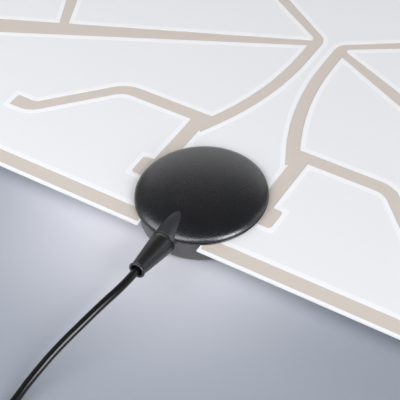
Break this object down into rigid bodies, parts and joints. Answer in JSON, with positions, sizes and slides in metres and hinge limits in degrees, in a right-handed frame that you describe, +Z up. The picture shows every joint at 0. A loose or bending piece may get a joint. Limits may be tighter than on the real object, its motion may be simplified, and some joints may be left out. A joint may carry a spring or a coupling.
{
  "type": "flat indoor tv antenna",
  "caption": "Thin flat film sheet with conductor tracks, a round domed housing clamped at its front edge, and a coax lead ending in a screw-on plug.",
  "frame": {"origin": "centre of the round housing's flat base", "axes": "+X along the sheet's long edge, +Y from the lead towards the sheet's far edge, +Z up out of the base, through the dome"},
  "size_m": [0.292, 0.3761, 0.0183],
  "materials": {
    "film": "satin white film, slightly translucent",
    "foil": "matte beige conductive foil",
    "print": "flat white printed line",
    "cover_plastic": "fine satin black",
    "shell_plastic": "satin black",
    "board": "green solder mask",
    "spring_brass": "thin bright strip",
    "ferrite": "dull dark grey",
    "copper_wire": "varnished wire",
    "tin_plate": "bright tin",
    "braid": "braided wire",
    "jacket": "glossy black",
    "boot_rubber": "satin black",
    "screw_steel": "zinc plated",
    "tie_plastic": "matte black strap",
    "grip_plastic": "satin black with ribs",
    "plated_metal": "bright nickel plate",
    "insulator": "white",
    "pin_metal": "bare copper-clad wire"
  },
  "bodies": {
    "antenna": {"rear_film": "film", "front_film": "film", "left_element": "foil", "right_element": "foil", "left_strip": "foil", "right_strip": "foil", "white_print": "print", "top_cover": "cover_plastic", "rear_shell": "shell_plastic", "circuit_board": "board", "left_contact": "spring_brass", "right_contact": "spring_brass", "balun_core": "ferrite", "balun_winding": "copper_wire", "ground_clamp": "tin_plate", "coax_core": "braid", "coax_jacket": "jacket", "cover_screws": "screw_steel", "cable_boot": "boot_rubber", "coax_lead": "jacket", "coax_coil": "jacket", "coax_end": "jacket", "coil_tie": "tie_plastic", "plug_grip": "grip_plastic", "plug_body": "plated_metal", "plug_insulator": "insulator", "centre_pin": "pin_metal"},
    "nut": {"coupling_nut": "plated_metal"}
  },
  "joints": [
    {"name": "nut_spin", "type": "hinge", "parent": "antenna", "child": "nut", "pos_m": [0.066, -0.1645, 0.0066], "axis": [1, 0, 0], "continuous": true}
  ]
}
